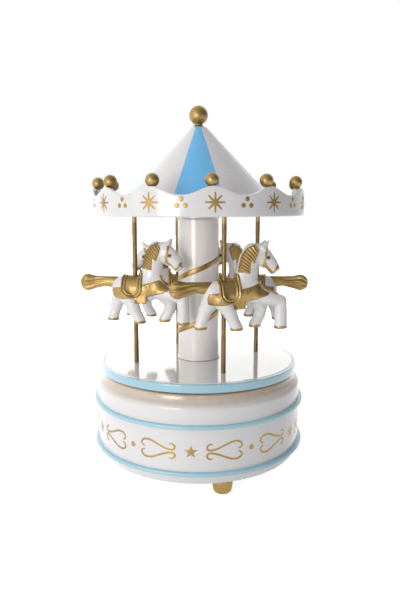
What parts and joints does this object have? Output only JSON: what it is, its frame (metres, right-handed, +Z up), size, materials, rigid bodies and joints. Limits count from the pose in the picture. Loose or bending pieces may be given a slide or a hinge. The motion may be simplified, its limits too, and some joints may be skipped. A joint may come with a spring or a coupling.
{
  "type": "carousel music box",
  "caption": "White and gold wind-up carousel music box: a round base with a cylinder movement turns a striped-roof merry-go-round with horses on poles.",
  "frame": {"origin": "centre of the circle of feet, on the plane they stand on", "axes": "+Z up along the spindle the carousel turns on, -Y towards the front, +X to the viewer's right"},
  "size_m": [0.1171, 0.1068, 0.18],
  "materials": {
    "white_plastic": "glossy moulded white plastic",
    "blue_plastic": "satin-gloss light blue plastic",
    "gold_paint": "muted gold metallic paint",
    "brass": "turned brass",
    "steel": "ground bright steel",
    "dark_steel": "tempered dark spring steel",
    "zinc": "die-cast zinc, fine matte skin"
  },
  "bodies": {
    "base": {"drum_wall": "white_plastic", "drum_lid": "white_plastic", "lower_band": "blue_plastic", "upper_band": "blue_plastic", "base_tray": "white_plastic", "foot_1": "gold_paint", "foot_2": "gold_paint", "foot_3": "gold_paint", "bedplate": "zinc", "governor_frame": "zinc", "comb": "steel", "plate_screw_1": "steel", "plate_screw_2": "steel", "plate_screw_3": "steel", "plate_screw_4": "steel", "comb_screw_1": "steel", "comb_screw_2": "steel"},
    "winding": {"winding_shaft": "dark_steel", "winding_key": "brass"},
    "carousel": {"spring_barrel": "brass", "mainspring": "dark_steel", "crown_wheel": "brass", "drive_spindle": "steel", "platform": "white_plastic", "platform_band": "blue_plastic", "column": "white_plastic", "column_collar": "white_plastic", "column_ribbon": "gold_paint", "canopy_deck": "white_plastic", "crown_wall": "white_plastic", "roof_cone": "white_plastic", "finial_ball": "gold_paint", "pole_1": "gold_paint", "pole_2": "gold_paint", "pole_3": "gold_paint", "pole_4": "gold_paint", "crown_ball_01": "gold_paint", "crown_ball_02": "gold_paint", "crown_ball_03": "gold_paint", "crown_ball_04": "gold_paint", "crown_ball_05": "gold_paint", "crown_ball_06": "gold_paint", "crown_ball_07": "gold_paint", "crown_ball_08": "gold_paint", "crown_ball_09": "gold_paint", "crown_ball_10": "gold_paint", "crown_ball_11": "gold_paint", "crown_ball_12": "gold_paint"},
    "horse_1_body": {"horse_1": "white_plastic"},
    "horse_2_body": {"horse_2": "white_plastic"},
    "horse_3_body": {"horse_3": "white_plastic"},
    "horse_4_body": {"horse_4": "white_plastic"},
    "cylinder": {"pin_cylinder": "brass", "cylinder_arbor": "steel", "drive_pinion": "brass", "cylinder_wheel": "brass"},
    "train": {"train_arbor": "steel", "worm_wheel": "brass"},
    "fly": {"worm_shaft": "steel", "fly_vane": "zinc"}
  },
  "joints": [
    {"name": "winding_turn", "type": "hinge", "parent": "base", "child": "winding", "pos_m": [0, 0, 0.0054], "axis": [0, 0, 1], "continuous": true},
    {"name": "carousel_turn", "type": "hinge", "parent": "base", "child": "carousel", "pos_m": [0, 0, 0.0507], "axis": [0, 0, 1], "continuous": true},
    {"name": "horse_1_swivel", "type": "hinge", "parent": "carousel", "child": "horse_1_body", "pos_m": [0.01158, -0.0308, 0.0905], "axis": [0, 0, 1], "range_deg": [-23.8, 66.2]},
    {"name": "horse_2_swivel", "type": "hinge", "parent": "carousel", "child": "horse_2_body", "pos_m": [0.0308, 0.01158, 0.0905], "axis": [0, 0, 1], "range_deg": [-89.4, 0.6]},
    {"name": "horse_3_swivel", "type": "hinge", "parent": "carousel", "child": "horse_3_body", "pos_m": [-0.01158, 0.0308, 0.0905], "axis": [0, 0, 1], "range_deg": [-19.4, 70.6]},
    {"name": "horse_4_swivel", "type": "hinge", "parent": "carousel", "child": "horse_4_body", "pos_m": [-0.0308, -0.01158, 0.0905], "axis": [0, 0, 1], "range_deg": [-89.4, 0.6]},
    {"name": "cylinder_turn", "type": "hinge", "parent": "base", "child": "cylinder", "pos_m": [0.0259, 0, 0.03427], "axis": [1, 0, 0], "continuous": true},
    {"name": "train_turn", "type": "hinge", "parent": "base", "child": "train", "pos_m": [0.0421, 0.0085, 0.03032], "axis": [1, 0, 0], "continuous": true},
    {"name": "fly_turn", "type": "hinge", "parent": "base", "child": "fly", "pos_m": [0.0421, 0.00305, 0.03032], "axis": [0, 0, 1], "continuous": true}
  ],
  "couplings": [
    {"joint": "cylinder_turn", "follows": "carousel_turn", "ratio": 3},
    {"joint": "train_turn", "follows": "carousel_turn", "ratio": -12},
    {"joint": "fly_turn", "follows": "carousel_turn", "ratio": -192}
  ]
}
